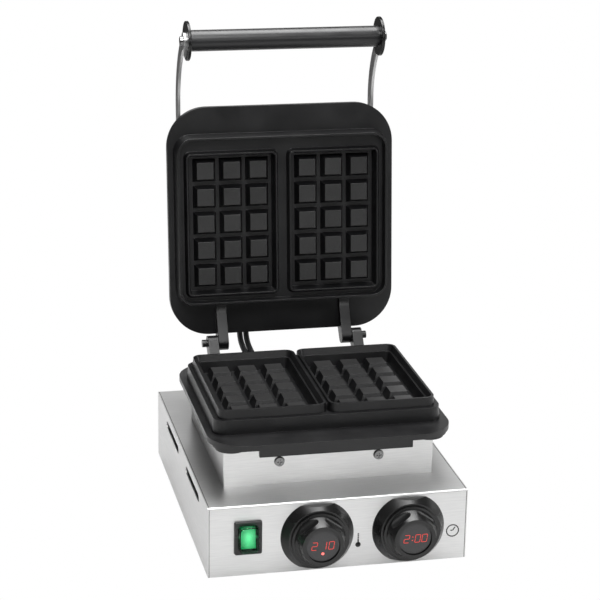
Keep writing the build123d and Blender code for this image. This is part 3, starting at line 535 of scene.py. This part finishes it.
def hose(name, shift):
    """One hose of the pair, a smooth tube along the route."""
    curve = bpy.data.curves.new(name, "CURVE")
    curve.dimensions = "3D"
    curve.bevel_depth = HOSE_RADIUS
    curve.bevel_resolution = HOSE_FACETS
    curve.resolution_u = HOSE_STEPS
    spline = curve.splines.new("NURBS")
    spline.points.add(len(HOSE_ROUTE) - 1)
    for point, (x, y, z) in zip(spline.points, HOSE_ROUTE):
        point.co = (x + shift, y, z, 1)
    spline.order_u = 3
    spline.use_endpoint_u = True
    line = bpy.data.objects.new(name, curve)
    bpy.context.collection.objects.link(line)
    bpy.context.view_layer.update()
    tube = bpy.data.meshes.new_from_object(line.evaluated_get(bpy.context.evaluated_depsgraph_get()))
    bpy.data.objects.remove(line)
    for face in tube.polygons:
        face.use_smooth = True
    piece = bpy.data.objects.new(name, tube)
    bpy.context.collection.objects.link(piece)
    paint(piece, "hose_plastic")
    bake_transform(piece)
    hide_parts("lid_conduit")
    return piece


for side in (-1, 1):
    hose(f"lid_hose_{'left' if side < 0 else 'right'}", side * HOSE_SPACING / 2)


def studio():
    """Pale floor and soft lights; the camera sees the floor and the world as plain white."""
    mesh = bpy.data.meshes.new("floor")
    half = FLOOR_SIZE / 2
    corners = [(-half, -half, 0), (half, -half, 0), (half, half, 0), (-half, half, 0)]
    mesh.from_pydata(corners, [], [(0, 1, 2, 3)])
    floor = bpy.data.objects.new("floor", mesh)
    bpy.context.collection.objects.link(floor)
    material, tree, links = node_tree("floor")
    output = tree.new("ShaderNodeOutputMaterial")
    mixed = tree.new("ShaderNodeMixShader")
    seen = tree.new("ShaderNodeLightPath")
    matt = tree.new("ShaderNodeBsdfDiffuse")
    matt.inputs["Color"].default_value = (FLOOR_SHADE, FLOOR_SHADE, FLOOR_SHADE, 1)
    white = tree.new("ShaderNodeEmission")
    links.new(seen.outputs["Is Camera Ray"], mixed.inputs["Fac"])
    links.new(matt.outputs["BSDF"], mixed.inputs[1])
    links.new(white.outputs["Emission"], mixed.inputs[2])
    links.new(mixed.outputs["Shader"], output.inputs["Surface"])
    floor.data.materials.append(material)

    world = bpy.data.worlds.new("studio")
    bpy.context.scene.world = world
    world.use_nodes = True
    tree = world.node_tree.nodes
    links = world.node_tree.links
    tree.clear()
    output = tree.new("ShaderNodeOutputWorld")
    seen = tree.new("ShaderNodeLightPath")
    soft = tree.new("ShaderNodeBackground")
    soft.inputs["Strength"].default_value = WORLD_LIGHT
    white = tree.new("ShaderNodeBackground")
    mixed = tree.new("ShaderNodeMixShader")
    links.new(seen.outputs["Is Camera Ray"], mixed.inputs["Fac"])
    links.new(soft.outputs["Background"], mixed.inputs[1])
    links.new(white.outputs["Background"], mixed.inputs[2])
    links.new(mixed.outputs["Shader"], output.inputs["Surface"])
    for background in (soft, white):
        background.inputs["Color"].default_value = (1, 1, 1, 1)


def softbox(name, place, target, width, height, power):
    """Rectangular light that looks at a point."""
    light = bpy.data.lights.new(name, "AREA")
    light.shape = "RECTANGLE"
    light.size = width
    light.size_y = height
    light.energy = power
    lamp = bpy.data.objects.new(name, light)
    lamp.location = place
    lamp.rotation_euler = (Vector(target) - Vector(place)).to_track_quat("-Z", "Y").to_euler()
    bpy.context.collection.objects.link(lamp)


def camera():
    """Camera fitted to the photograph's view."""
    yaw = radians(CAMERA_YAW)
    pitch = radians(CAMERA_PITCH)
    roll = radians(CAMERA_ROLL)
    ahead = Vector((sin(yaw) * cos(pitch), cos(yaw) * cos(pitch), -sin(pitch)))
    level = Vector((cos(yaw), -sin(yaw), 0))
    above = level.cross(ahead)
    right = level * cos(roll) + above * sin(roll)
    up = above * cos(roll) - level * sin(roll)
    data = bpy.data.cameras.new("camera")
    data.lens = CAMERA_LENS
    data.sensor_width = SENSOR
    data.clip_end = 50
    view = bpy.data.objects.new("camera", data)
    turn = Matrix((right, up, -ahead)).transposed().to_4x4()
    view.matrix_world = Matrix.Translation(CAMERA_PLACE) @ turn
    bpy.context.collection.objects.link(view)
    bpy.context.scene.camera = view


studio()
softbox("key", (-0.3, -1.2, 1.8), (0, -0.3, 0.0), 0.8, 0.8, 38)
softbox("top", (0.1, 0.3, 1.7), (0, 0, 0.1), 1.2, 1.0, 40)
softbox("back", (0.5, 2.2, 0.95), (0, 0, 0.1), 1.8, 0.6, 2.6)
softbox("front", (0.45, -1.85, 0.98), (0, 0, 0.1), 1.0, 0.25, 3.6)
softbox("right", (1.8, -0.6, 0.8), (0, 0, 0.15), 0.5, 1.2, 8)
camera()
bpy.context.scene.view_settings.view_transform = "Standard"
